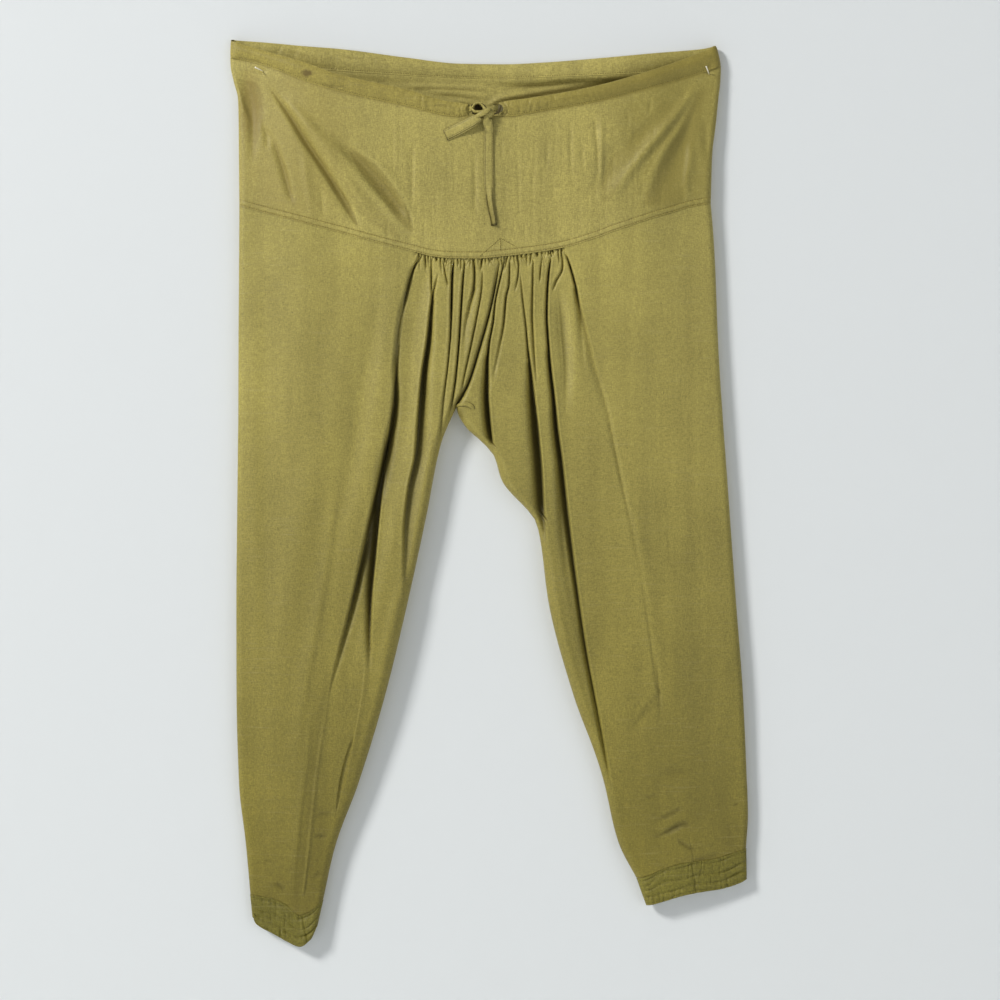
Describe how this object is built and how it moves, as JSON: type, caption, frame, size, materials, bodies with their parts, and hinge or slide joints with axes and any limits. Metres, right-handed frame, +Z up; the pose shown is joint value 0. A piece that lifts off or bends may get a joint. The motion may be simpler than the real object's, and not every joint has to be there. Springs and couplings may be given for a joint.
{
  "type": "gathered drawstring salwar trousers with two wall pins",
  "caption": "Gathered drawstring trousers of olive-gold silky cloth with narrow cuffs, hung flat on a wall by two steel pins.",
  "frame": {"origin": "on the wall plane, midway between the two wall pins", "axes": "+Z up, +X to the viewer's right, -Y out of the wall towards the viewer (the front)"},
  "size_m": [0.5818, 0.0413, 1.0172],
  "materials": {
    "cloth": "silky slub weave, olive gold",
    "cuff_cloth": "the same silky cloth, two layers, stitched in rows",
    "tape": "flat tape of the same silky cloth, stitched along one edge",
    "steel": "dull steel wire"
  },
  "bodies": {
    "root": {"casing_back": "cloth", "casing_front_left": "cloth", "casing_front_right": "cloth", "yoke_front_left": "cloth", "yoke_front_right": "cloth", "yoke_back": "cloth", "leg_front_left": "cloth", "leg_back_left": "cloth", "leg_front_right": "cloth", "leg_back_right": "cloth", "cuff_left": "cuff_cloth", "cuff_right": "cuff_cloth", "drawstring_waist": "tape", "drawstring_knot": "tape", "drawstring_short_end": "tape", "drawstring_hanging_end": "tape", "pin_left": "steel", "pin_right": "steel"}
  },
  "joints": []
}
